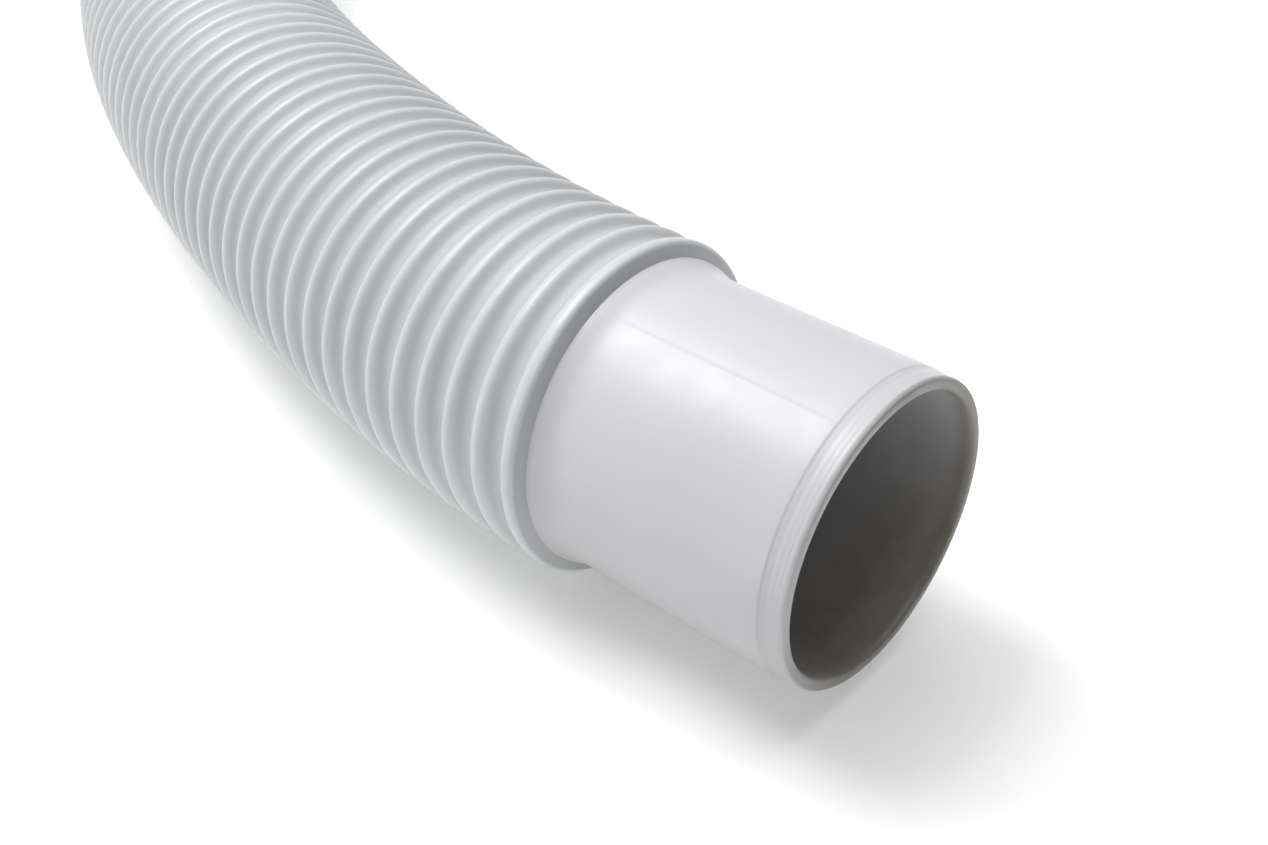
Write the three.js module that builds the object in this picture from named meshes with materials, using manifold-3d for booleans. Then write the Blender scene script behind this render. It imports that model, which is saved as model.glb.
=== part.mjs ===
// Pool vacuum hose, 1-1/2 in nominal, stored in a tied coil with its near end laid out.
// Units mm, +Z up. The floor is z = 0. The near cuff's axis runs along Y and its mouth faces -Y.
import * as THREE from 'three';
import * as BufferGeometryUtils from 'three/addons/utils/BufferGeometryUtils.js';
import Module from 'manifold-3d';

// ---- driving dimensions ----
const HOSE_OD = 48;            // over the corrugation crests
const CUFF_OD = 42;            // smooth cuff outside = hose bore
const CUFF_BORE = 38.1;        // 1-1/2 in
const CUFF_OUT = 39.2;         // near cuff standing out of the hose end
const CUFF_IN = 16;            // near cuff tail inside the hose end
const GAP = 0.3;               // clearance kept between neighbouring solids
// bend of the laid-out stretch: [length from the near hose end in mm, curvature in 1/mm]
const BENDS = [[0, 0], [6, 1 / 190], [70, 1 / 410], [85, 0.002013106], [115, 0.002708836], [145, 0.003698546], [175, 0.00403544], [205, 0.0035005867], [235, 0.0025813035], [258, 0.0022556186]];
const BEND_LENGTH = 258;         // length of the laid-out bend, which turns the hose by 48 degrees
const STRAIGHT = 222;          // straight run between the bend and the coil
const COIL_R = 248;            // coil radius at the middle of the turns (10.3 hose diameters across)
const COIL_TURNS = 3;          // full turns stacked on each other
const STACK = 48.4;            // height from one turn to the next
const COIL_RAMP = 120;         // degrees at the end of a turn in which it climbs to the next
const EASE = 40;               // curvature ramp length into and out of the coil
const TAIL_R = 230;            // bend of the hose end lying on top of the coil
const TAIL_HEADING = Math.PI / 2;      // it ends pointing along +X
const TAIL_STRAIGHT = 26;      // straight hose at the swivel end
const STRAP_T = 1.6, STRAP_W = 25, STRAP_GAP = 0.8;   // hook-and-loop tie
const COIL_LIFT = STRAP_T + STRAP_GAP;                // the coil lies on its ties
const TIE_DEG = [6, 130, 225];                        // along the coil from where the hose joins it
const SWIVEL = { tail: 18, flange: 3, neck: 24, beadAt: 18.6, reach: 68 };
const SEG = 44;

const R = HOSE_OD / 2, RC = CUFF_OD / 2, RB = CUFF_BORE / 2;

// ---- hose route: heading measured from +Y toward +X, one point per millimetre ----
function route() {
  const pts = [], marks = {};
  let x = 0, y = 0, h = 0, s = 0, z = R;
  const put = () => pts.push({ s, x, y, z, h });
  put();
  const step = (k, n = 1) => { h += k * n / 2; x += Math.sin(h) * n; y += Math.cos(h) * n; h += k * n / 2; s += n; };
  const kBend = t => {
    const i = Math.max(1, BENDS.findIndex(([at]) => at >= t));
    const [a, ka] = BENDS[i - 1], [b, kb] = BENDS[i];
    return ka + (kb - ka) * (t - a) / (b - a);
  };
  while (s < BEND_LENGTH - 0.5) { step(kBend(s + 0.5)); put(); }
  marks.bendEnd = s;
  for (let i = 0; i < STRAIGHT; i++) {
    step(0);
    const t = (i + 1) / STRAIGHT; z = R + COIL_LIFT * t * t * (3 - 2 * t);
    put();
  }
  for (let i = 0; i < EASE; i++) { step((i + 0.5) / EASE / COIL_R); put(); }
  marks.coilStart = s;
  const cx = x + Math.cos(h) * COIL_R, cy = y - Math.sin(h) * COIL_R, h0 = h;
  marks.centre = [cx, cy]; marks.h0 = h0;
  const len = COIL_TURNS * 2 * Math.PI * COIL_R;
  const climb = a => {                       // a in turns
    const k = Math.floor(a + 1e-9), f = (a - k) * 360;
    const t = Math.min(1, Math.max(0, (f - (360 - COIL_RAMP)) / COIL_RAMP));
    return k + t * t * (3 - 2 * t);
  };
  const n = Math.round(len), ds = len / n;
  for (let i = 1; i <= n; i++) {
    const a = i / n * COIL_TURNS;
    h = h0 + a * 2 * Math.PI; s += ds;
    x = cx - Math.cos(h) * COIL_R; y = cy + Math.sin(h) * COIL_R;
    z = R + COIL_LIFT + STACK * climb(a); put();
  }
  marks.coilEnd = s;
  const arc = (TAIL_HEADING - h0) * TAIL_R + EASE / 2, m = Math.round(arc), dt = arc / m;
  for (let i = 0; i < m; i++) {
    step(Math.min(1, (arc - (i + 0.5) * dt) / EASE) / TAIL_R, dt); put();
  }
  for (let i = 0; i < TAIL_STRAIGHT; i++) { step(0); put(); }
  marks.end = s;
  return { pts, marks };
}
const { pts, marks } = route();
const at = s => {
  let i = Math.min(pts.length - 2, Math.max(0, Math.floor(s)));
  while (i < pts.length - 2 && pts[i + 1].s < s) i++;
  while (i > 0 && pts[i].s > s) i--;
  const a = pts[i], b = pts[i + 1], t = (s - a.s) / (b.s - a.s);
  return new THREE.Vector3(a.x + (b.x - a.x) * t, a.y + (b.y - a.y) * t, a.z + (b.z - a.z) * t);
};
const curve = (s0, s1, n) => new THREE.CatmullRomCurve3(Array.from({ length: n + 1 }, (_, i) => at(s0 + (s1 - s0) * i / n)));

// ---- shapes ----
const ngon = (r, n) => Array.from({ length: n }, (_, i) => new THREE.Vector2(r * Math.cos(2 * Math.PI * i / n), r * Math.sin(2 * Math.PI * i / n)));
const along = (s0, s1, n, r, rin = 0, sides = 12) => {
  const shape = new THREE.Shape(ngon(r, sides));
  if (rin) shape.holes.push(new THREE.Path(ngon(rin, sides).reverse()));
  return new THREE.ExtrudeGeometry(shape, { steps: n, bevelEnabled: false, extrudePath: curve(s0, s1, Math.ceil((s1 - s0) / 2)) });
};
const turned = (profile, seg = SEG) => {
  const p = profile.map(([r, y]) => new THREE.Vector2(r, y));
  p.push(p[0].clone());
  return new THREE.LatheGeometry(p, seg);
};
const wasm = await Module(); wasm.setup();
const solid = g => {
  const c = g.clone(); c.deleteAttribute('normal'); c.deleteAttribute('uv');
  const m = BufferGeometryUtils.mergeVertices(c, 1e-4);
  return new wasm.Manifold(new wasm.Mesh({ numProp: 3, vertProperties: new Float32Array(m.attributes.position.array), triVerts: new Uint32Array(m.index.array) }));
};
const geom = man => {
  const m = man.getMesh(), g = new THREE.BufferGeometry();
  const p = new Float32Array(m.numVert * 3);
  for (let i = 0; i < m.numVert; i++) for (let k = 0; k < 3; k++) p[3 * i + k] = m.vertProperties[m.numProp * i + k];
  g.setAttribute('position', new THREE.BufferAttribute(p, 3));
  g.setIndex(new THREE.BufferAttribute(new Uint32Array(m.triVerts), 1));
  g.computeVertexNormals();
  return g;
};

// ---- near cuff: plain sleeve, eased rim, small flare against the hose end, tapered tail ----
const nearCuff = turned([
  [RB + 0.5, -CUFF_OUT], [RC - 0.6, -CUFF_OUT], [RC - 0.15, -CUFF_OUT + 0.5], [RC - 0.12, -CUFF_OUT + 3.6], [RC, -CUFF_OUT + 3.9],
  [RC, -3.4], [RC + 0.25, -2.0], [RC + 1.0, -GAP - 0.6], [RC + 1.0, -GAP], [RC, -GAP],
  [RC - 0.2, 0.4], [RC - 0.5, CUFF_IN - 1], [RC - 0.9, CUFF_IN], [RB + 0.4, CUFF_IN], [RB, CUFF_IN - 0.6],
  [RB, -CUFF_OUT + 0.8]]).translate(0, 0, R);

// ---- coil: stacked turns as one ring ----
const ringProfile = (grow = 0) => {
  const out = [], N = 5;
  const z0 = R + COIL_LIFT;
  for (let k = 0; k < COIL_TURNS; k++) {          // outer side going up
    const a0 = k === 0 ? -90 : -72, a1 = k === COIL_TURNS - 1 ? 90 : 72;
    for (let i = 0; i <= N; i++) {
      const a = (a0 + (a1 - a0) * i / N) * Math.PI / 180;
      out.push([COIL_R + (R + grow) * Math.cos(a), z0 + k * STACK + (R + grow) * Math.sin(a)]);
    }
  }
  for (let k = COIL_TURNS - 1; k >= 0; k--) {     // inner side going down
    const b0 = k === COIL_TURNS - 1 ? 90 : 108, b1 = k === 0 ? 270 : 252;
    for (let i = 0; i <= N; i++) {
      if ((k === COIL_TURNS - 1 && i === 0) || (k === 0 && i === N)) continue;
      const a = (b0 + (b1 - b0) * i / N) * Math.PI / 180;
      out.push([COIL_R + (R + grow) * Math.cos(a), z0 + k * STACK + (R + grow) * Math.sin(a)]);
    }
  }
  return out;
};
const [CX, CY] = marks.centre;
const ringAt = (grow, seg) => turned(ringProfile(grow), seg).rotateX(Math.PI / 2).translate(CX, CY, 0);
const coil = ringAt(0, 64);
const coilTool = solid(ringAt(GAP, 64));

// ---- laid-out stretch and tail: plain tubes, stopped where they lie into the coil ----
const nearCollar = along(0, CUFF_IN + 2.4, 4, R, RC + 2 * GAP, 32);
const stretchRaw = along(CUFF_IN + 2.4 + GAP, marks.coilStart - 62, 26, R);
const stretch = geom(solid(stretchRaw).subtract(coilTool));
const rampLen = COIL_RAMP / 360 * 2 * Math.PI * COIL_R;
const FERRULE_TAIL = SWIVEL.tail;
const tailRaw = along(marks.coilEnd - rampLen * 0.62, marks.end - FERRULE_TAIL - 0.4 - GAP, 26, R);
const tail = geom(solid(tailRaw).subtract(coilTool));

// ---- swivel end, built along +Y from the far hose end, then laid on the coil ----
const END = pts[pts.length - 1];
const toEnd = g => g.rotateZ(-END.h).translate(END.x, END.y, END.z);
const farCollar = toEnd(turned([[R, -FERRULE_TAIL - 0.4], [R, 0], [RC + GAP, 0], [RC + GAP, -FERRULE_TAIL - 0.4]], SEG));
const S = SWIVEL;
const ferrule = toEnd(turned([
  [RB - 1.2, -S.tail], [RC - 0.8, -S.tail], [RC, -S.tail + 1], [RC, GAP], [R - 0.4, GAP], [R - 0.2, GAP + 0.4],
  [R - 0.2, S.flange - 0.2], [R - 0.5, S.flange], [RC - 0.6, S.flange],
  [RC - 0.6, S.beadAt], [RC + 0.5, S.beadAt + 0.4], [RC + 0.5, S.beadAt + 1.2], [RC - 0.6, S.beadAt + 3.4], [RC - 0.6, S.neck], [RB - 1.2, S.neck]]));
const seal = toEnd(turned([[RB - 0.2, S.neck + 0.2], [RC - 0.8, S.neck + 0.2], [RC - 0.5, S.neck + 0.8], [RC - 0.8, S.neck + 1.5], [RB - 0.2, S.neck + 1.5], [RB - 0.5, S.neck + 0.8]], SEG));
const swivelCuff = toEnd(turned([
  [RC - 0.3, S.flange + GAP], [R - 0.5, S.flange + GAP], [R - 0.3, S.flange + 0.6],
  [R - 0.3, S.neck + 2], [RC + 0.6, S.neck + 5.5], [RC, S.neck + 7],
  [RC, S.reach - 3.9], [RC - 0.12, S.reach - 3.6], [RC - 0.15, S.reach - 0.5], [RC - 0.6, S.reach], [RB + 0.5, S.reach], [RB, S.reach - 0.8],
  [RB, S.neck + 1.8], [RC - 0.3, S.neck + 1.8], [RC - 0.3, S.beadAt + 4.0],
  [RC + 0.9, S.beadAt + 1.6], [RC + 0.9, S.beadAt - 0.2], [RC - 0.3, S.beadAt - 0.5]]));

// ---- ties: flat hook-and-loop bands round the stacked turns, each through its buckle frame ----
const stadium = (r, z0, z1, n = 10) => {
  const p = [];
  for (let i = 0; i <= n; i++) { const a = Math.PI * (i / n) - Math.PI; p.push(new THREE.Vector2(r * Math.cos(a), z0 + r * Math.sin(a))); }
  for (let i = 0; i <= n; i++) { const a = Math.PI * (i / n); p.push(new THREE.Vector2(r * Math.cos(a), z1 + r * Math.sin(a))); }
  return p;
};
const place = (g, deg) => {
  const h = marks.h0 + deg * Math.PI / 180;          // outward direction at this place on the coil
  const ang = Math.atan2(Math.sin(h), -Math.cos(h));
  return g.rotateX(Math.PI / 2).translate(COIL_R, 0, 0).rotateZ(ang).translate(CX, CY, 0);
};
const tie = (deg, turns) => {
  const z0 = R + COIL_LIFT, z1 = z0 + (turns - 1) * STACK, r = R + STRAP_GAP;
  const shape = new THREE.Shape(stadium(r + STRAP_T, z0, z1));
  shape.holes.push(new THREE.Path(stadium(r, z0, z1).reverse()));
  return place(new THREE.ExtrudeGeometry(shape, { depth: STRAP_W, steps: 1, bevelEnabled: false }).translate(0, 0, -STRAP_W / 2), deg);
};
const buckle = (deg, level) => {
  const r0 = R + STRAP_GAP, z = R + COIL_LIFT + (level + 0.5) * STACK;
  const x0 = r0 - 3.6, x1 = r0 + STRAP_T + 3.4, w = STRAP_W / 2 + 4, a0 = r0 - 1.0, a1 = r0 + STRAP_T + 1.2, b = STRAP_W / 2 + 1;
  const shape = new THREE.Shape([new THREE.Vector2(x0, -w), new THREE.Vector2(x1, -w), new THREE.Vector2(x1, w), new THREE.Vector2(x0, w)]);
  shape.holes.push(new THREE.Path([new THREE.Vector2(a0, -b), new THREE.Vector2(a0, b), new THREE.Vector2(a1, b), new THREE.Vector2(a1, -b)]));
  const g = new THREE.ExtrudeGeometry(shape, { depth: 3.2, steps: 1, bevelEnabled: false }).translate(0, 0, -1.6);
  const h = marks.h0 + deg * Math.PI / 180, ang = Math.atan2(Math.sin(h), -Math.cos(h));
  return g.translate(COIL_R, 0, z).rotateZ(ang).translate(CX, CY, 0);
};

// ---- assembly ----
const group = new THREE.Group();
group.name = 'pool_vacuum_hose';
const colour = { hose: 0xdadde0, cuff: 0xdedee4, ferrule: 0xd4d6da, seal: 0x222326, tie: 0x2b2d31, buckle: 0x1c1d1f };
const parts = [];
const add = (name, g, c) => {
  const m = new THREE.Mesh(g, new THREE.MeshStandardMaterial({ color: c, roughness: 0.5 }));
  m.name = name; group.add(m); parts.push(g);
};
add('near_cuff', nearCuff, colour.cuff);
add('hose_end_near', nearCollar, colour.hose);
add('hose_stretch', stretch, colour.hose);
add('hose_coil', coil, colour.hose);
add('hose_tail', tail, colour.hose);
add('hose_end_far', farCollar, colour.hose);
add('swivel_ferrule', ferrule, colour.ferrule);
add('swivel_seal', seal, colour.seal);
add('swivel_cuff', swivelCuff, colour.cuff);
add('tie_a', tie(TIE_DEG[0], COIL_TURNS + 1), colour.tie);
add('tie_b', tie(TIE_DEG[1], COIL_TURNS), colour.tie);
add('tie_c', tie(TIE_DEG[2], COIL_TURNS), colour.tie);
add('tie_buckle_a', buckle(TIE_DEG[0], 1), colour.buckle);
add('tie_buckle_b', buckle(TIE_DEG[1], 1), colour.buckle);
add('tie_buckle_c', buckle(TIE_DEG[2], 1), colour.buckle);

// origin at the bottom centre of the whole object's box
const box = new THREE.Box3();
for (const g of parts) { g.computeBoundingBox(); box.union(g.boundingBox); }
const mid = box.getCenter(new THREE.Vector3());
for (const g of parts) g.translate(-mid.x, -mid.y, -box.min.z);

export default group;
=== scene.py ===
import bpy, math
import numpy as np
from mathutils import Vector, Matrix


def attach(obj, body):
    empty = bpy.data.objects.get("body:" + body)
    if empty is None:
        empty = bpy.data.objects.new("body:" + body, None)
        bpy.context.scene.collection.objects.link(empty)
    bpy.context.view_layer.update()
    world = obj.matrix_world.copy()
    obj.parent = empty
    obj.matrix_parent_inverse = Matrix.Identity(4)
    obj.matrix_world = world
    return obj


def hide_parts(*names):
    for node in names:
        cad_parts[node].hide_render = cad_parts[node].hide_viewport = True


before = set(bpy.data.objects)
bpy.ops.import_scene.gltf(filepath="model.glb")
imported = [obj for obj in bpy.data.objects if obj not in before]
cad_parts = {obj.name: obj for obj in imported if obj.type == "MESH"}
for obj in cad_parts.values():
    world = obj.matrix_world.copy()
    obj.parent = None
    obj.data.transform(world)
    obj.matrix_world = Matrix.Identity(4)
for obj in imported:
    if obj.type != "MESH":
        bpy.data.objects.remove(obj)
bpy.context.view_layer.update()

MM = 0.001
MID = (352.746, 201.803)          # row origin in hose-end millimetres
R, RC, RB = 24.0, 21.0, 19.05     # hose crest, cuff outside, cuff bore
PITCH, CREST0 = 4.95, 1.9


# ------------------------------------------------------------------ camera
scene = bpy.context.scene
cam_data = bpy.data.cameras.new("camera")
cam = bpy.data.objects.new("camera", cam_data)
scene.collection.objects.link(cam)
scene.camera = cam
CAM = Vector((-0.482548, -0.314070, 0.147375))
E1 = Vector((0.658282, -0.752772, 0.0)).normalized()
E2 = Vector((0.752772, 0.658282, 0.0)).normalized()
EPS = math.radians(36.053)
fwd = E2 * math.cos(EPS) - Vector((0, 0, 1)) * math.sin(EPS)
upv = E2 * math.sin(EPS) + Vector((0, 0, 1)) * math.cos(EPS)
cam.matrix_world = Matrix(((E1.x, upv.x, -fwd.x, CAM.x), (E1.y, upv.y, -fwd.y, CAM.y), (E1.z, upv.z, -fwd.z, CAM.z), (0, 0, 0, 1)))
cam_data.sensor_width = 36.0
cam_data.lens = 36.0 * 1581.7 / 1268.0
cam_data.clip_start = 0.01
cam_data.clip_end = 50.0


# ------------------------------------------------------------------ hose route (same rule as the CAD)
BENDS = [(0, 0), (6, 1 / 190), (70, 1 / 410), (85, 0.002013106), (115, 0.002708836), (145, 0.003698546), (175, 0.00403544), (205, 0.0035005867), (235, 0.0025813035), (258, 0.0022556186)]
BEND_LENGTH = 258
STRAIGHT, COIL_R, COIL_TURNS, STACK = 222, 248.0, 3, 48.4
COIL_RAMP, EASE, TAIL_R, TAIL_STRAIGHT, LIFT = 120, 40, 230.0, 26, 2.4


def route():
    pts = []
    st = {"x": 0.0, "y": 0.0, "h": 0.0, "s": 0.0, "z": R}

    def put():
        pts.append((st["s"], st["x"], st["y"], st["z"], st["h"]))

    def step(k, n=1.0):
        st["h"] += k * n / 2
        st["x"] += math.sin(st["h"]) * n
        st["y"] += math.cos(st["h"]) * n
        st["h"] += k * n / 2
        st["s"] += n

    def bend(t):
        return float(np.interp(t, [q[0] for q in BENDS], [q[1] for q in BENDS]))

    put()
    while st["s"] < BEND_LENGTH - 0.5:
        step(bend(st["s"] + 0.5))
        put()
    for i in range(STRAIGHT):
        step(0)
        t = (i + 1) / STRAIGHT
        st["z"] = R + LIFT * t * t * (3 - 2 * t)
        put()
    for i in range(EASE):
        step((i + 0.5) / EASE / COIL_R)
        put()
    cx = st["x"] + math.cos(st["h"]) * COIL_R
    cy = st["y"] - math.sin(st["h"]) * COIL_R
    h0, s0 = st["h"], st["s"]

    def climb(a):
        k = math.floor(a + 1e-9)
        f = (a - k) * 360
        t = min(1, max(0, (f - (360 - COIL_RAMP)) / COIL_RAMP))
        return k + t * t * (3 - 2 * t)

    n = round(COIL_TURNS * 2 * math.pi * COIL_R)
    ds = COIL_TURNS * 2 * math.pi * COIL_R / n
    for i in range(1, n + 1):
        a = i / n * COIL_TURNS
        st["h"] = h0 + a * 2 * math.pi
        st["s"] += ds
        st["x"] = cx - math.cos(st["h"]) * COIL_R
        st["y"] = cy + math.sin(st["h"]) * COIL_R
        st["z"] = R + LIFT + STACK * climb(a)
        put()
    s1 = st["s"]
    arc = (math.pi / 2 - h0) * TAIL_R + EASE / 2
    m = round(arc)
    dt = arc / m
    for i in range(m):
        step(min(1, (arc - (i + 0.5) * dt) / EASE) / TAIL_R, dt)
        put()
    for i in range(TAIL_STRAIGHT):
        step(0)
        put()
    return np.array(pts), (cx, cy), h0, s0, s1


PTS, CENTRE, H0, S_COIL, S_COILEND = route()
S_END = float(PTS[-1, 0])
XYZ = np.stack([PTS[:, 1] - MID[0], PTS[:, 2] - MID[1], PTS[:, 3]], 1)
# lengths along the real 3-D line
ARC = np.concatenate([[0], np.cumsum(np.linalg.norm(np.diff(XYZ, axis=0), axis=1))])
L_HOSE = float(ARC[-1])


def at(s):
    s = np.asarray(s, float)
    return np.stack([np.interp(s, ARC, XYZ[:, k]) for k in range(3)], -1)


def frames(s):
    """centre, side (right of travel), up' at arc length s"""
    c = at(s)
    t = at(np.asarray(s) + 1.0) - at(np.asarray(s) - 1.0)
    first = np.asarray(s) < 1.0
    t[first] = at(np.asarray(s)[first] + 1.0) - c[first]
    last = np.asarray(s) > L_HOSE - 1.0
    t[last] = c[last] - at(np.asarray(s)[last] - 1.0)
    t /= np.linalg.norm(t, axis=1)[:, None]
    side = np.stack([t[:, 1], -t[:, 0], np.zeros(len(t))], 1)
    side /= np.linalg.norm(side, axis=1)[:, None]
    up = np.cross(side, t)
    return c, side, up, t


# ------------------------------------------------------------------ mesh helpers
def new_mesh(name, verts, faces, smooth=True):
    me = bpy.data.meshes.new(name)
    me.from_pydata([tuple(v) for v in verts], [], faces)
    me.validate()
    me.update()
    ob = bpy.data.objects.new(name, me)
    scene.collection.objects.link(ob)
    if smooth:
        me.polygons.foreach_set("use_smooth", [True] * len(me.polygons))
    return ob


def rib(s):
    """distance from the nearest crest at arc length s, -PITCH/2..PITCH/2 in mm"""
    p = (np.asarray(s) - CREST0 + PITCH / 2) % PITCH - PITCH / 2
    return p


CAP_R, CAP_X, HOLLOW_C, HOLLOW_K = 1.1, 0.817, 2.03, 2.2


def rib_radius(p):
    """p: distance from the crest in mm, -2.5..2.5; a round cap on a hollow-sided ridge"""
    x = np.abs(p)
    cap = R - CAP_R + np.sqrt(np.maximum(CAP_R ** 2 - np.minimum(x, CAP_X) ** 2, 0))
    edge = R - CAP_R + math.sqrt(CAP_R ** 2 - CAP_X ** 2)
    low = edge - HOLLOW_C * (1 - CAP_X / 2.5) ** HOLLOW_K
    side = low + HOLLOW_C * np.maximum(1 - x / 2.5, 0) ** HOLLOW_K
    return np.where(x < CAP_X, cap, side)


def grid_faces(n, m, off=0):
    f = []
    for i in range(n - 1):
        a, b = off + i * m, off + (i + 1) * m
        for j in range(m):
            k = (j + 1) % m
            f.append((a + j, b + j, b + k, a + k))
    return f


def hose_mesh():
    verts, faces, crest = [], [], []
    uvs = []

    def ring(c, side, up, t, r, m, share, axial=0.0):
        th = np.arange(m) * 2 * math.pi / m
        off = len(verts)
        n = np.cos(th)[:, None] * up + np.sin(th)[:, None] * side
        rr = r if np.ndim(r) else np.full(m, r)
        P = c + n * rr[:, None] + t * axial
        verts.extend((P * MM).tolist())
        crest.extend([share] * m)
        return off

    # phases of a pitch sampled in each zone
    def phases(k):
        if k == 14:
            return np.array([-1.95, -1.45, -1.1, -0.817, -0.55, -0.27, 0.0, 0.27, 0.55, 0.817, 1.1, 1.45, 1.95, 2.5])
        if k == 9:
            return np.array([-1.7, -1.1, -0.7, -0.3, 0.0, 0.3, 0.7, 1.1, 1.7])
        return np.array([-1.3, 0.0, 1.3])

    Z1, Z2 = 100.0, 300.0
    stations = []
    nmax = int((L_HOSE - CREST0) / PITCH) + 1
    for n in range(0, nmax + 1):
        sc = CREST0 + n * PITCH
        if sc < Z1:
            k, m = 14, 80
        elif sc < Z2:
            k, m = 9, 40
        else:
            k, m = 3, 20
        for p in phases(k):
            s = sc + p
            if (n or p > 0) and s < L_HOSE - 0.4:
                stations.append((s, float(rib_radius(np.array(p))), m, float(np.clip((1.4 - abs(p)) / 0.55, 0, 1))))
    # near end face: rounded lip, then down to the cuff and a short inner wall
    S = np.array([q[0] for q in stations])
    c, side, up, t = frames(S)
    c0, side0, up0, t0 = frames(np.array([0.0]))
    rows = []
    for (ax, r) in [(17.5, 21.35), (9.0, 21.3), (1.2, 21.5), (0.3, 21.68), (0.06, 21.8), (0.0, 21.93), (0.05, 22.08), (0.25, 22.5),
                    (0.5, 23.03), (0.66, 23.36), (0.8, 23.62), (0.97, 23.8), (1.17, 23.92), (1.38, 23.98), (CREST0, 24.0)]:
        cc, ss, uu, tt = frames(np.array([max(ax, 0.0)]))
        rows.append((cc[0], ss[0], uu[0], tt[0], r, 80, 1.0 if ax > 0.7 and r > 23.3 else 0.0))
    for i in range(len(stations)):
        rows.append((c[i], side[i], up[i], t[i], stations[i][1], stations[i][2], stations[i][3]))
    for (ax, r) in [(0.3, 22.4), (0.05, 22.1), (0.0, 21.7), (0.1, 21.3), (0.4, 21.12), (16.0, 21.12)]:
        cc, ss, uu, tt = frames(np.array([L_HOSE - ax]))
        rows.append((cc[0], ss[0], uu[0], tt[0], r, 20, 0.0))
    prev = None
    for (cc, ss, uu, tt, r, m, share) in rows:
        off = ring(cc, ss, uu, tt, r, m, share)
        if prev is not None:
            po, pm = prev
            if pm == m:
                for j in range(m):
                    k = (j + 1) % m
                    faces.append((po + j, off + j, off + k, po + k))
            else:                         # two to one
                for j in range(m):
                    k = (j + 1) % m
                    a, b, e = po + 2 * j, po + 2 * j + 1, po + (2 * j + 2) % pm
                    faces.append((a, off + j, b))
                    faces.append((b, off + j, off + k))
                    faces.append((b, off + k, e))
        prev = (off, m)
    return verts, faces, crest


hv, hf, hw = hose_mesh()
hose = new_mesh("hose", hv, hf)


at_rib = hose.data.attributes.new("ridge", "FLOAT", "POINT")       # 1 on the thick ridges, 0 on the thin wall between
at_rib.data.foreach_set("value", np.array(hw, np.float32))


# ------------------------------------------------------------------ turned parts
def turned(name, prof, seg, centre, heading, z, jitter=None, mouth=None):
    """closed profile of (r, y) turned round the axis; y runs along the heading"""
    ax = np.array([math.sin(heading), math.cos(heading), 0.0])
    side = np.array([math.cos(heading), -math.sin(heading), 0.0])
    up = np.array([0.0, 0.0, 1.0])
    c = np.array([centre[0], centre[1], z])
    th = np.arange(seg) * 2 * math.pi / seg
    n = np.cos(th)[:, None] * up + np.sin(th)[:, None] * side
    verts = []
    for (r, y) in prof:
        rr = np.full(seg, r)
        if jitter is not None:
            rr = rr + jitter(r, y, th)
        verts.append(c + ax * y + n * rr[:, None])
    v = np.concatenate(verts) * MM
    faces = []
    N = len(prof)
    for i in range(N):
        a, b = i * seg, ((i + 1) % N) * seg
        for j in range(seg):
            k = (j + 1) % seg
            faces.append((a + j, b + j, b + k, a + k))
    ob = new_mesh(name, v, faces)
    shade_attr = ob.data.attributes.new("painted_shade", "FLOAT", "POINT")
    # painted shade: heavy along the bottom of the bore, some on the rim face, a trace on the underside outside
    c_, s_ = np.cos(th), np.sin(th)
    bore_shade = 0.55 - 0.42 * c_
    rim_shade = np.clip(0.55 + 0.33 * s_ + 0.42 * np.maximum(0, -c_) + 0.20 * np.maximum(0, c_), 0, 1)
    under_shade = np.clip(0.33 * (0.35 - c_), 0, 1)
    rows = []
    for (r, y) in prof:
        from_mouth = abs(y - mouth) if mouth is not None else 99.0
        if mouth is None:
            rows.append(bore_shade if r < RB + 0.3 else 0 * bore_shade)
        elif r < RB + 0.3:
            t = min(1.0, from_mouth / 2.5)
            shade_fade = 1 - 0.62 * min(1.0, max(0.0, (from_mouth - 7.0) / 22.0))      # painted shade lighter further in
            rows.append(bore_shade * t * shade_fade + rim_shade * (1 - t))
        elif from_mouth < 0.12 and r < RC - 0.35:
            rows.append(rim_shade)
        elif from_mouth < 0.5:
            rows.append(0.78 * rim_shade)
        elif from_mouth < 3.6:
            rows.append(under_shade + 0.07)
        else:
            rows.append(under_shade)
    shade_attr.data.foreach_set("value", np.array(rows, np.float32).ravel())
    return ob


def arc(r0, y0, r1, y1, n, bulge):
    """points from (r0,y0) to (r1,y1) bowed by bulge to the left"""
    out = []
    for i in range(1, n):
        t = i / n
        b = 4 * t * (1 - t) * bulge
        dx, dy = r1 - r0, y1 - y0
        L = math.hypot(dx, dy)
        out.append((r0 + dx * t - dy / L * b, y0 + dy * t + dx / L * b))
    return out


HE = (-MID[0], -MID[1])
OUT = 39.2
# near cuff: mouth at y = -OUT, rounded rim, shallow turned band, plain barrel, flare against the hose
near_prof = []
near_prof += [(RB, -OUT + 1.3), (RB + 0.04, -OUT + 0.75), (RB + 0.14, -OUT + 0.35), (RB + 0.34, -OUT + 0.08), (RB + 0.6, -OUT)]
near_prof += [(RC - 0.62, -OUT), (RC - 0.42, -OUT + 0.05), (RC - 0.28, -OUT + 0.2), (RC - 0.2, -OUT + 0.45)]
for (dy, w, deep) in ((1.05, 0.14, 0.03), (1.75, 0.12, 0.022), (2.6, 0.16, 0.035)):       # fine turned lines
    y = -OUT + dy
    near_prof += [(RC - 0.19 + dy * 0.012, y - w), (RC - 0.19 + dy * 0.012 - deep, y), (RC - 0.19 + dy * 0.012, y + w)]
near_prof += [(RC - 0.15, -OUT + 3.35), (RC - 0.12, -OUT + 3.5), (RC - 0.02, -OUT + 3.68), (RC, -OUT + 3.85)]
near_prof += [(RC, y) for y in np.linspace(-OUT + 5, -4.4, 16)]
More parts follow.
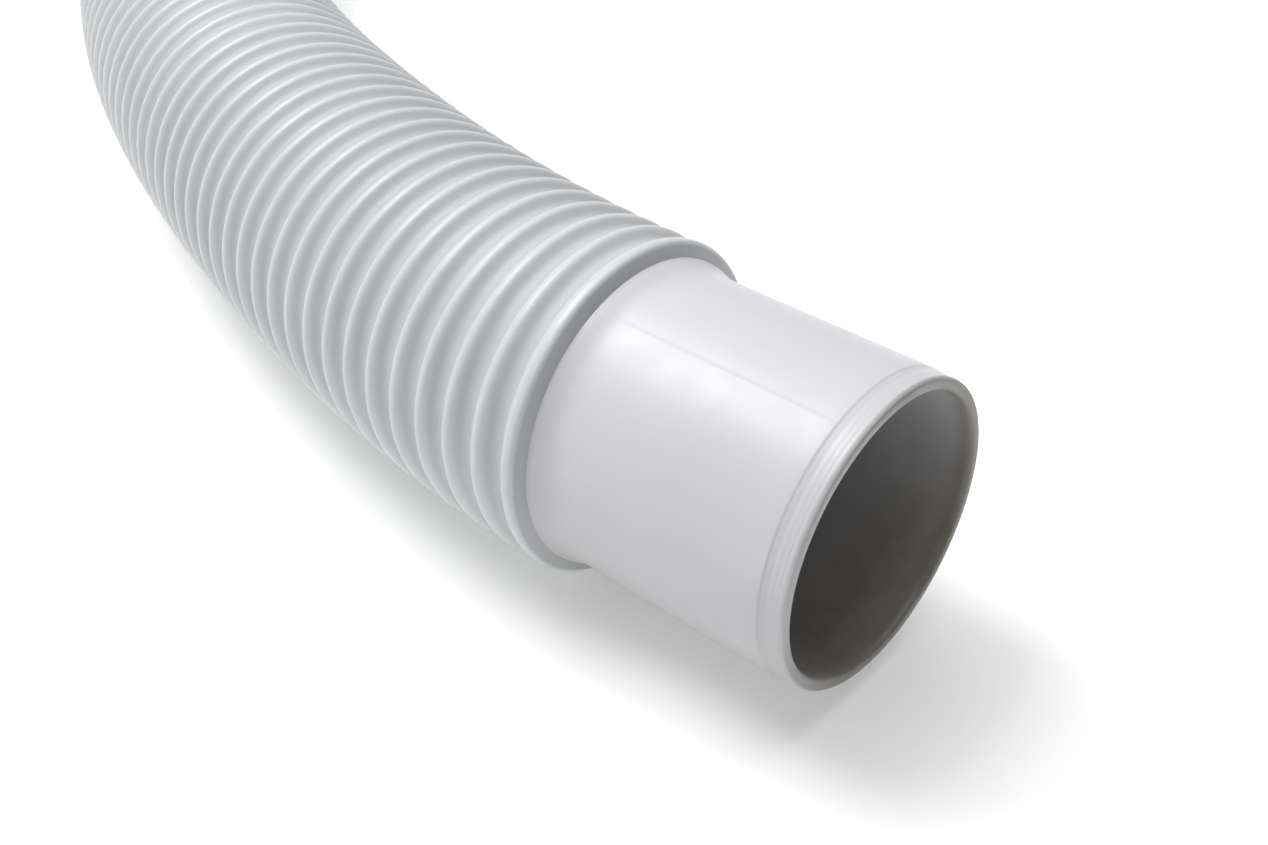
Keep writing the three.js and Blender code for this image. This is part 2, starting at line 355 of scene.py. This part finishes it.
near_prof += [(RC + 0.03, -3.7), (RC + 0.12, -3.0), (RC + 0.28, -2.3), (RC + 0.52, -1.6), (RC + 0.76, -1.0), (RC + 0.9, -0.5), (RC + 0.95, 0.0), (RC + 0.95, 0.25), (RC + 0.4, 0.5)]
near_prof += [(RC - 0.1, 0.8), (RC - 0.5, 15.0), (RC - 0.7, 15.8), (RC - 1.0, 16.0), (RB + 0.4, 16.0), (RB + 0.05, 15.6)]
near_prof += [(RB, y) for y in np.linspace(14.5, -OUT + 7.5, 14)]
near_prof += [(RB, -OUT + 6.0), (RB + 0.03, -OUT + 4.4), (RB + 0.06, -OUT + 3.0), (RB + 0.06, -OUT + 1.8)]


def seam(r, y, th):
    """faint mould parting line along the outside"""
    if r < RC - 0.12 or y > -1.5 or y < -OUT + 3.9:
        return 0
    out = np.zeros(len(th))
    for a in (math.radians(-22.0), math.radians(158.0)):
        d = (th - a + math.pi) % (2 * math.pi) - math.pi
        out += 0.08 * np.exp(-(d * RC / 0.30) ** 2)
    return out


near = turned("near_cuff_body", near_prof, 480, HE, 0.0, R, seam, mouth=-OUT)
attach(near, "hose")
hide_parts("near_cuff")
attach(hose, "hose")
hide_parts("hose_end_near", "hose_stretch", "hose_coil", "hose_tail", "hose_end_far")

# swivel end
END = (float(XYZ[-1, 0]), float(XYZ[-1, 1]))
ZE = float(XYZ[-1, 2])
HEAD = math.pi / 2
NECK, BEAD, REACH, FL = 24.0, 18.6, 68.0, 3.0
fer_prof = [(RB - 1.2, -18), (RC - 0.9, -18), (RC - 0.3, -17.6), (RC - 0.05, -17), (RC - 0.02, -0.1), (RC + 0.4, 0.12), (R - 0.7, 0.3), (R - 0.45, 0.42), (R - 0.3, 0.7),
            (R - 0.3, FL - 0.6), (R - 0.45, FL - 0.25), (R - 0.75, FL - 0.1), (RC - 0.3, FL), (RC - 0.6, FL + 0.3), (RC - 0.6, BEAD), (RC + 0.3, BEAD + 0.2), (RC + 0.5, BEAD + 0.5),
            (RC + 0.5, BEAD + 1.2), (RC + 0.2, BEAD + 2.0), (RC - 0.6, BEAD + 3.4), (RC - 0.65, NECK - 0.3), (RC - 0.9, NECK), (RB - 0.9, NECK), (RB - 1.15, NECK - 0.3)]
ferrule = turned("swivel_ferrule_body", fer_prof, 128, END, HEAD, ZE)
seal = turned("swivel_seal_ring", [(RB - 0.2, NECK + 0.25), (RC - 0.9, NECK + 0.25), (RC - 0.55, NECK + 0.5), (RC - 0.5, NECK + 0.85), (RC - 0.55, NECK + 1.2), (RC - 0.9, NECK + 1.45),
               (RB - 0.2, NECK + 1.45), (RB - 0.45, NECK + 1.2), (RB - 0.5, NECK + 0.85), (RB - 0.45, NECK + 0.5)], 96, END, HEAD, ZE)
sw = []
sw += [(RC - 0.3, FL + 0.35), (RC + 0.2, FL + 0.3), (R - 0.9, FL + 0.3), (R - 0.55, FL + 0.4), (R - 0.36, FL + 0.62), (R - 0.3, FL + 0.9)]
sw += [(R - 0.3, y) for y in np.linspace(FL + 2.0, NECK + 1.2, 20)]
sw += [(R - 0.34, NECK + 1.7), (R - 0.5, NECK + 2.3), (RC + 1.4, NECK + 4.0), (RC + 0.5, NECK + 5.6), (RC + 0.12, NECK + 6.6), (RC, NECK + 7.4)]
sw += [(RC, y) for y in np.linspace(NECK + 9, REACH - 4.2, 14)]
sw += [(RC - 0.02, REACH - 3.8), (RC - 0.12, REACH - 3.6), (RC - 0.14, REACH - 3.4)]
for (dy, w, deep) in ((2.6, 0.16, 0.035), (1.75, 0.12, 0.022), (1.05, 0.14, 0.03)):
    y = REACH - dy
    sw += [(RC - 0.19 + dy * 0.012, y - w), (RC - 0.19 + dy * 0.012 - deep, y), (RC - 0.19 + dy * 0.012, y + w)]
sw += [(RC - 0.17, REACH - 0.5), (RC - 0.26, REACH - 0.22), (RC - 0.46, REACH - 0.06), (RC - 0.8, REACH), (RB + 0.85, REACH), (RB + 0.48, REACH - 0.09), (RB + 0.2, REACH - 0.3), (RB + 0.05, REACH - 0.62), (RB, REACH - 1.0)]
sw += [(RB, y) for y in np.linspace(REACH - 3, NECK + 2.6, 12)]
sw += [(RB + 0.1, NECK + 1.8), (RC - 0.5, NECK + 1.75), (RC - 0.3, NECK + 1.5), (RC - 0.3, BEAD + 4.0), (RC + 0.9, BEAD + 1.6), (RC + 0.9, BEAD - 0.2), (RC - 0.3, BEAD - 0.5)]


def grip(r, y, th):
    """shallow finger grooves round the swivel collar"""
    if r < R - 0.45 or y < FL + 2.5 or y > NECK + 0.2:
        return 0
    e = min(1.0, (y - FL - 2.5) / 1.2, (NECK + 0.2 - y) / 1.2)
    w = 0.5 - 0.5 * np.cos(th * 40)
    return -0.55 * e * (1 - w ** 0.6)


swivel = turned("swivel_cuff_body", sw, 320, END, HEAD, ZE, grip, mouth=REACH)
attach(ferrule, "hose"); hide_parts("swivel_ferrule")
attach(seal, "hose"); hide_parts("swivel_seal")
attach(swivel, "swivel"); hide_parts("swivel_cuff")


# ------------------------------------------------------------------ ties and buckles
STRAP_T, STRAP_W, STRAP_GAP = 1.6, 25.0, 0.8
CX, CY = CENTRE[0] - MID[0], CENTRE[1] - MID[1]


def tie_frame(deg):
    h = H0 + math.radians(deg)
    out = np.array([-math.cos(h), math.sin(h), 0.0])
    tan = np.array([math.sin(h), math.cos(h), 0.0])
    c = np.array([CX, CY, 0.0]) + out * COIL_R
    return c, out, tan


def strap(name, deg, turns, seed):
    """one band round the stacked turns, overlapping itself on the outside with a free rounded end"""
    rng = np.random.default_rng(seed)
    c, out, tan = tie_frame(deg)
    z0, z1 = R + LIFT, R + LIFT + (turns - 1) * STACK
    r = R + STRAP_GAP + STRAP_T / 2
    path = []
    # start at the buckle on the outside, go down, under, up the inside, over and down to the buckle, then the tail over it
    zb = R + LIFT + 1.5 * STACK
    def line(p, q, n):
        return [(p[0] + (q[0] - p[0]) * i / n, p[1] + (q[1] - p[1]) * i / n) for i in range(n)]
    path += line((r, zb), (r, z0), 20)
    path += [(r * math.cos(a), z0 + r * math.sin(a)) for a in np.linspace(0, -math.pi, 25)[:-1]]
    path += line((-r, z0), (-r, z1), 40)
    path += [(r * math.cos(a), z1 + r * math.sin(a)) for a in np.linspace(math.pi, 0, 25)[:-1]]
    path += line((r, z1), (r, zb), 20)
    P = np.array(path)
    n = len(P)
    cross = []
    W = STRAP_W / 2
    hw = STRAP_T / 2
    # rounded-edge section (across, thickness)
    sec = [(-W + 0.5, -hw), (-W / 2, -hw), (0, -hw), (W / 2, -hw), (W - 0.5, -hw), (W - 0.12, -hw + 0.25), (W, 0), (W - 0.12, hw - 0.25), (W - 0.5, hw), (W / 2, hw), (0, hw), (-W / 2, hw), (-W + 0.5, hw), (-W + 0.12, hw - 0.25), (-W, 0), (-W + 0.12, -hw + 0.25)]
    verts, faces = [], []
    T = np.roll(P, -1, 0) - np.roll(P, 1, 0)
    T /= np.linalg.norm(T, axis=1)[:, None]
    Nn = np.stack([-T[:, 1], T[:, 0]], 1)          # left of travel
    # make the normal point away from the hose
    cc = P.mean(0)
    for i in range(n):
        nn = Nn[i]
        if (P[i] - np.array([0, np.clip(P[i][1], z0, z1)])) @ nn < 0:
            nn = -nn
        for (w, d) in sec:
            q = P[i] + nn * d
            verts.append((c + out * q[0] + np.array([0, 0, 1.0]) * q[1] + tan * w) * MM)
    m = len(sec)
    for i in range(n):
        a, b = i * m, ((i + 1) % n) * m
        for j in range(m):
            k = (j + 1) % m
            faces.append((a + j, b + j, b + k, a + k))
    # free tail lying over the band below the buckle
    tl = []
    L = 46.0
    for i in range(24):
        t = i / 23
        z = zb + 3.0 - L * t
        lift = 0.15 + 0.9 * t ** 3 * (0.6 + 0.4 * rng.random())
        tl.append((r + STRAP_T + lift * 0.6, z, W if t < 0.86 else W * math.sqrt(max(0.02, 1 - ((t - 0.86) / 0.14) ** 2 * 0.72))))
    off = len(verts)
    for (x, z, w) in tl:
        for (a, d) in sec:
            aa = a / W * (w - 0.35)
            verts.append((c + out * (x + d * 0.9) + np.array([0, 0, 1.0]) * z + tan * aa) * MM)
    for i in range(len(tl) - 1):
        a, b = off + i * m, off + (i + 1) * m
        for j in range(m):
            k = (j + 1) % m
            faces.append((a + j, a + k, b + k, b + j))
    faces.append(tuple(off + j for j in range(m)))
    faces.append(tuple(off + (len(tl) - 1) * m + j for j in reversed(range(m))))
    ob = new_mesh(name, verts, faces)
    return ob


def buckle(name, deg):
    c, out, tan = tie_frame(deg)
    zc = R + LIFT + 1.5 * STACK
    r0 = R + STRAP_GAP
    x0, x1 = r0 - 3.4, r0 + STRAP_T + 3.2
    a0, a1 = r0 - 1.2, r0 + STRAP_T + 1.4
    W, B = STRAP_W / 2 + 3.8, STRAP_W / 2 + 0.9
    # centre line of the bar frame with rounded corners; the bar is a rounded rectangle
    xm0, xm1, wm = (x0 + a0) / 2, (x1 + a1) / 2, (W + B) / 2
    pts = []
    rc = 1.6
    def corner(cx, cy, a, b):
        return [(cx + rc * math.cos(t), cy + rc * math.sin(t)) for t in np.linspace(a, b, 7)]
    pts += corner(xm1 - rc, wm - rc, 0, math.pi / 2)
    pts += corner(xm0 + rc, wm - rc, math.pi / 2, math.pi)
    pts += corner(xm0 + rc, -wm + rc, math.pi, 1.5 * math.pi)
    pts += corner(xm1 - rc, -wm + rc, 1.5 * math.pi, 2 * math.pi)
    P = np.array(pts)
    n = len(P)
    T = np.roll(P, -1, 0) - np.roll(P, 1, 0)
    T /= np.linalg.norm(T, axis=1)[:, None]
    N = np.stack([T[:, 1], -T[:, 0]], 1)
    verts, faces = [], []
    m = 16
    for i in range(n):
        # wider bars at the two sides
        side = abs(N[i][1])
        hw = 1.1 + 0.35 * side
        for j in range(m):
            t = 2 * math.pi * j / m
            ct, stt = math.cos(t), math.sin(t)
            d = hw * math.copysign(abs(ct) ** 0.6, ct)
            z = 1.5 * math.copysign(abs(stt) ** 0.6, stt)
            q = P[i] + N[i] * d
            verts.append((c + out * q[0] + tan * q[1] + np.array([0, 0, zc + z])) * MM)
    for i in range(n):
        a, b = i * m, ((i + 1) % n) * m
        for j in range(m):
            k = (j + 1) % m
            faces.append((a + j, a + k, b + k, b + j))
    return new_mesh(name, verts, faces)


TIES = [("a", 6, COIL_TURNS + 1), ("b", 130, COIL_TURNS), ("c", 225, COIL_TURNS)]
straps, buckles = [], []
for i, (k, deg, n) in enumerate(TIES):
    s = strap("tie_strap_" + k, deg, n, 11 + i)
    b = buckle("tie_slide_" + k, deg)
    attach(s, "hose"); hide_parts("tie_" + k)
    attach(b, "hose"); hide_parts("tie_buckle_" + k)
    straps.append(s); buckles.append(b)

# outward normals
for ob in (near, ferrule, seal, swivel, *straps, *buckles):
    me = ob.data
    import bmesh
    bm = bmesh.new(); bm.from_mesh(me)
    bmesh.ops.recalc_face_normals(bm, faces=bm.faces)
    bm.to_mesh(me); bm.free()


# ------------------------------------------------------------------ materials
def material(name):
    m = bpy.data.materials.new(name)
    m.use_nodes = True
    nt = m.node_tree
    nt.nodes.clear()
    out = nt.nodes.new("ShaderNodeOutputMaterial")
    b = nt.nodes.new("ShaderNodeBsdfPrincipled")
    nt.links.new(b.outputs[0], out.inputs[0])
    tc = nt.nodes.new("ShaderNodeTexCoord")
    return m, nt, b, tc


def noise(nt, tc, scale, detail=4.0, rough=0.5, dist=0.0):
    n = nt.nodes.new("ShaderNodeTexNoise")
    n.inputs["Scale"].default_value = scale
    n.inputs["Detail"].default_value = detail
    n.inputs["Roughness"].default_value = rough
    n.inputs["Distortion"].default_value = dist
    nt.links.new(tc.outputs["Object"], n.inputs["Vector"])
    return n


def ramp(nt, src, stops):
    r = nt.nodes.new("ShaderNodeValToRGB")
    e = r.color_ramp.elements
    e[0].position, e[0].color = stops[0]
    e[1].position, e[1].color = stops[-1]
    for p, c in stops[1:-1]:
        x = e.new(p)
        x.color = c
    nt.links.new(src, r.inputs[0])
    return r


def maprange(nt, src, a, b, c, d):
    m = nt.nodes.new("ShaderNodeMapRange")
    m.inputs[1].default_value, m.inputs[2].default_value = a, b
    m.inputs[3].default_value, m.inputs[4].default_value = c, d
    nt.links.new(src, m.inputs[0])
    return m


def bump(nt, src, dist, strength, prev=None):
    b = nt.nodes.new("ShaderNodeBump")
    b.inputs["Distance"].default_value = dist
    b.inputs["Strength"].default_value = strength
    nt.links.new(src, b.inputs["Height"])
    if prev is not None:
        nt.links.new(prev.outputs[0], b.inputs["Normal"])
    return b


def plastic(name, col_a, col_b, rough, rough_var, fine, speck=True, sss=0.0, ior=1.5, scale=1.0, painted_shade=None, ridge=None):
    m, nt, b, tc = material(name)
    n1 = noise(nt, tc, 28 * scale, 5, 0.55)
    cr = ramp(nt, n1.outputs[0], [(0.32, (*col_a, 1)), (0.68, (*col_b, 1))])
    colour = cr.outputs[0]
    if speck:                                # tiny dark specks of dirt
        v = nt.nodes.new("ShaderNodeTexVoronoi")
        v.inputs["Scale"].default_value = 95
        nt.links.new(tc.outputs["Object"], v.inputs["Vector"])
        sz = maprange(nt, v.outputs["Distance"], 0.018, 0.034, 1.0, 0.0)
        pick = nt.nodes.new("ShaderNodeMath"); pick.operation = "GREATER_THAN"; pick.inputs[1].default_value = 0.86
        sep = nt.nodes.new("ShaderNodeSeparateColor")
        nt.links.new(v.outputs["Color"], sep.inputs[0])
        nt.links.new(sep.outputs[0], pick.inputs[0])
        mul = nt.nodes.new("ShaderNodeMath"); mul.operation = "MULTIPLY"
        nt.links.new(sz.outputs[0], mul.inputs[0]); nt.links.new(pick.outputs[0], mul.inputs[1])
        fade = nt.nodes.new("ShaderNodeMath"); fade.operation = "MULTIPLY"; fade.inputs[1].default_value = 0.55
        nt.links.new(mul.outputs[0], fade.inputs[0])
        mix = nt.nodes.new("ShaderNodeMix"); mix.data_type = "RGBA"
        nt.links.new(fade.outputs[0], mix.inputs[0])
        nt.links.new(colour, mix.inputs[6]); mix.inputs[7].default_value = (0.22, 0.21, 0.2, 1)
        colour = mix.outputs[2]
    if ridge is not None:                    # painted shade: the thin wall between the thick ridges is darker
        ar = nt.nodes.new("ShaderNodeAttribute"); ar.attribute_name = "ridge"
        sc = nt.nodes.new("ShaderNodeMix"); sc.data_type = "RGBA"; sc.blend_type = "MULTIPLY"
        sc.inputs[0].default_value = 1.0
        wall_shade = ramp(nt, ar.outputs["Fac"], [(0.0, (1, 1, 1, 1)), (1.0, (*ridge, 1))])
        wall_shade.color_ramp.elements[0].color = (ridge[0], ridge[1], ridge[2], 1)
        wall_shade.color_ramp.elements[1].color = (1, 1, 1, 1)
        nt.links.new(colour, sc.inputs[6]); nt.links.new(wall_shade.outputs[0], sc.inputs[7])
        colour = sc.outputs[2]
    if painted_shade is not None:                   # painted shade in the bore, on the rim and on the underside outside
        shade_node = nt.nodes.new("ShaderNodeAttribute"); shade_node.attribute_name = "painted_shade"
        n5 = noise(nt, tc, 75, 5, 0.6)
        am = maprange(nt, n5.outputs[0], 0.25, 0.6, 0.8, 1.0)
        mm = nt.nodes.new("ShaderNodeMath"); mm.operation = "MULTIPLY"
        nt.links.new(shade_node.outputs["Fac"], mm.inputs[0]); nt.links.new(am.outputs[0], mm.inputs[1])
        mx = nt.nodes.new("ShaderNodeMix"); mx.data_type = "RGBA"
        nt.links.new(mm.outputs[0], mx.inputs[0]); nt.links.new(colour, mx.inputs[6]); mx.inputs[7].default_value = (*painted_shade, 1)
        colour = mx.outputs[2]
    nt.links.new(colour, b.inputs["Base Color"])
    n2 = noise(nt, tc, 210 * scale, 3, 0.6)
    mr = maprange(nt, n2.outputs[0], 0.3, 0.7, rough - rough_var, rough + rough_var)
    if ridge is not None:                    # and more polished by handling
        rr = maprange(nt, ar.outputs["Fac"], 0.0, 1.0, 0.2, 0.0)
        ra = nt.nodes.new("ShaderNodeMath"); ra.operation = "ADD"
        nt.links.new(mr.outputs[0], ra.inputs[0]); nt.links.new(rr.outputs[0], ra.inputs[1])
        nt.links.new(ra.outputs[0], b.inputs["Roughness"])
    else:
        nt.links.new(mr.outputs[0], b.inputs["Roughness"])
    n3 = noise(nt, tc, 2600, 2, 0.5)
    n4 = noise(nt, tc, 420, 3, 0.5)
    b1 = bump(nt, n3.outputs[0], 0.00003, fine)
    b2 = bump(nt, n4.outputs[0], 0.00010, fine * 0.8, b1)
    nt.links.new(b2.outputs[0], b.inputs["Normal"])
    b.inputs["IOR"].default_value = ior
    if sss:
        b.inputs["Subsurface Weight"].default_value = sss
        b.inputs["Subsurface Radius"].default_value = (0.0016, 0.0014, 0.0013)
        b.inputs["Subsurface Scale"].default_value = 1.0
    return m


# ridge: colour of the painted shade on the thin wall between the ridges
m_hose = plastic("eva_hose", (0.60, 0.61, 0.625), (0.65, 0.66, 0.67), 0.34, 0.05, 0.35, ior=1.5, ridge=(0.80, 0.80, 0.795))
# the last colour given to the cuff and ferrule mouldings is the painted shade in their bores, on the rim and under the
# cuff
m_cuff = plastic("cuff_moulding", (0.61, 0.61, 0.635), (0.65, 0.65, 0.675), 0.38, 0.05, 0.30, ior=1.5, painted_shade=(0.172, 0.156, 0.128))
m_ferr = plastic("ferrule_moulding", (0.56, 0.57, 0.58), (0.60, 0.61, 0.62), 0.38, 0.05, 0.3, painted_shade=(0.27, 0.258, 0.243))
m_seal = plastic("seal_elastomer", (0.018, 0.018, 0.019), (0.032, 0.032, 0.034), 0.62, 0.08, 0.5, speck=False)
m_buckle = plastic("buckle_moulding", (0.016, 0.016, 0.018), (0.028, 0.028, 0.03), 0.46, 0.08, 0.5, speck=False)


def fabric():
    m, nt, b, tc = material("woven_band")
    w1 = nt.nodes.new("ShaderNodeTexWave"); w1.inputs["Scale"].default_value = 520; w1.bands_direction = "Z"; w1.inputs["Distortion"].default_value = 1.2; w1.inputs["Detail"].default_value = 2
    nt.links.new(tc.outputs["Object"], w1.inputs["Vector"])
    n1 = noise(nt, tc, 1500, 3, 0.7)
    n2 = noise(nt, tc, 60, 4, 0.5)
    cr = ramp(nt, n2.outputs[0], [(0.3, (0.018, 0.019, 0.022, 1)), (0.7, (0.036, 0.038, 0.043, 1))])
    mix = nt.nodes.new("ShaderNodeMix"); mix.data_type = "RGBA"; mix.inputs[0].default_value = 0.35
    fz = ramp(nt, n1.outputs[0], [(0.35, (0.008, 0.008, 0.01, 1)), (0.7, (0.075, 0.078, 0.085, 1))])
    nt.links.new(cr.outputs[0], mix.inputs[6]); nt.links.new(fz.outputs[0], mix.inputs[7])
    nt.links.new(mix.outputs[2], b.inputs["Base Color"])
    b.inputs["Roughness"].default_value = 0.86
    b.inputs["Sheen Weight"].default_value = 0.35
    b.inputs["Sheen Roughness"].default_value = 0.5
    b1 = bump(nt, w1.outputs["Fac"], 0.0003, 0.5)
    b2 = bump(nt, n1.outputs[0], 0.0004, 0.6, b1)
    nt.links.new(b2.outputs[0], b.inputs["Normal"])
    return m


m_band = fabric()
hose.data.materials.append(m_hose)
near.data.materials.append(m_cuff)
swivel.data.materials.append(m_cuff)
ferrule.data.materials.append(m_ferr)
seal.data.materials.append(m_seal)
for s in straps:
    s.data.materials.append(m_band)
for b in buckles:
    b.data.materials.append(m_buckle)


# ------------------------------------------------------------------ floor and light
fv = [(-60, -60, 0), (60, -60, 0), (60, 60, 0), (-60, 60, 0)]
floor = new_mesh("floor", fv, [(0, 1, 2, 3)], smooth=False)
fm, fnt, fb, ftc = material("pale_floor")
fn = noise(fnt, ftc, 3, 3, 0.5)
fr = ramp(fnt, fn.outputs[0], [(0.3, (0.80, 0.80, 0.80, 1)), (0.7, (0.82, 0.82, 0.82, 1))])
fnt.links.new(fr.outputs[0], fb.inputs["Base Color"])
fb.inputs["Emission Color"].default_value = (1, 1, 1, 1)
fb.inputs["Emission Strength"].default_value = 0.26
fb.inputs["Roughness"].default_value = 0.7
fb.inputs["Specular IOR Level"].default_value = 0.2
floor.data.materials.append(fm)


def area(name, direction, dist, size, power, colour=(1, 1, 1), target=Vector((-0.36, -0.23, 0.03))):
    ld = bpy.data.lights.new(name, "AREA")
    ld.shape = "RECTANGLE"
    ld.size, ld.size_y = size
    ld.energy = power
    ld.color = colour
    ob = bpy.data.objects.new(name, ld)
    scene.collection.objects.link(ob)
    v = Vector(direction).normalized()
    ob.location = target + v * dist
    ob.rotation_euler = (-v).to_track_quat("-Z", "Y").to_euler()
    return ob


key_dir = Vector((-0.10, 0.53, 0.84))
area("overhead", Vector((0.05, 0.12, 1.0)), 2.6, (2.6, 2.6), 36.0, (0.99, 0.995, 1.0), Vector((-0.10, -0.05, 0.0)))
area("key", key_dir, 2.6, (1.3, 1.3), 39.0, (1.0, 0.995, 0.985))
area("fill_left", Vector((-0.85, 0.46, 0.16)), 1.8, (1.5, 0.8), 1.2, (0.97, 0.985, 1.0))

# a soft spot on the coil's near side, so that it throws no shade into the picture
sd = bpy.data.lights.new("coil_spot", "SPOT")
sd.energy = 31.0
sd.spot_size = math.radians(34)
sd.spot_blend = 0.7
sd.shadow_soft_size = 0.16
so = bpy.data.objects.new("coil_spot", sd)
scene.collection.objects.link(so)
so.location = (0.04, -0.80, 0.60)
so.rotation_euler = (Vector((0.0, -0.19, 0.03)) - so.location).to_track_quat("-Z", "Y").to_euler()

# studio surround: bright overhead and behind, dim towards the camera side
world = bpy.data.worlds.new("studio")
scene.world = world
world.use_nodes = True
wt = world.node_tree
bg = wt.nodes["Background"]
wc = wt.nodes.new("ShaderNodeTexCoord")
dot = wt.nodes.new("ShaderNodeVectorMath"); dot.operation = "DOT_PRODUCT"
gd = Vector((-0.10, 0.60, 0.79)).normalized()
dot.inputs[1].default_value = gd
wt.links.new(wc.outputs["Generated"], dot.inputs[0])
wm = wt.nodes.new("ShaderNodeMapRange"); wm.interpolation_type = "SMOOTHSTEP"
wm.inputs[1].default_value, wm.inputs[2].default_value = -0.30, 0.95
wm.inputs[3].default_value, wm.inputs[4].default_value = 0.05, 0.50
wt.links.new(dot.outputs["Value"], wm.inputs[0])
bg.inputs[0].default_value = (0.975, 0.985, 1.0, 1)
wt.links.new(wm.outputs[0], bg.inputs[1])

scene.view_settings.view_transform = "Standard"
scene.view_settings.exposure = 0.0
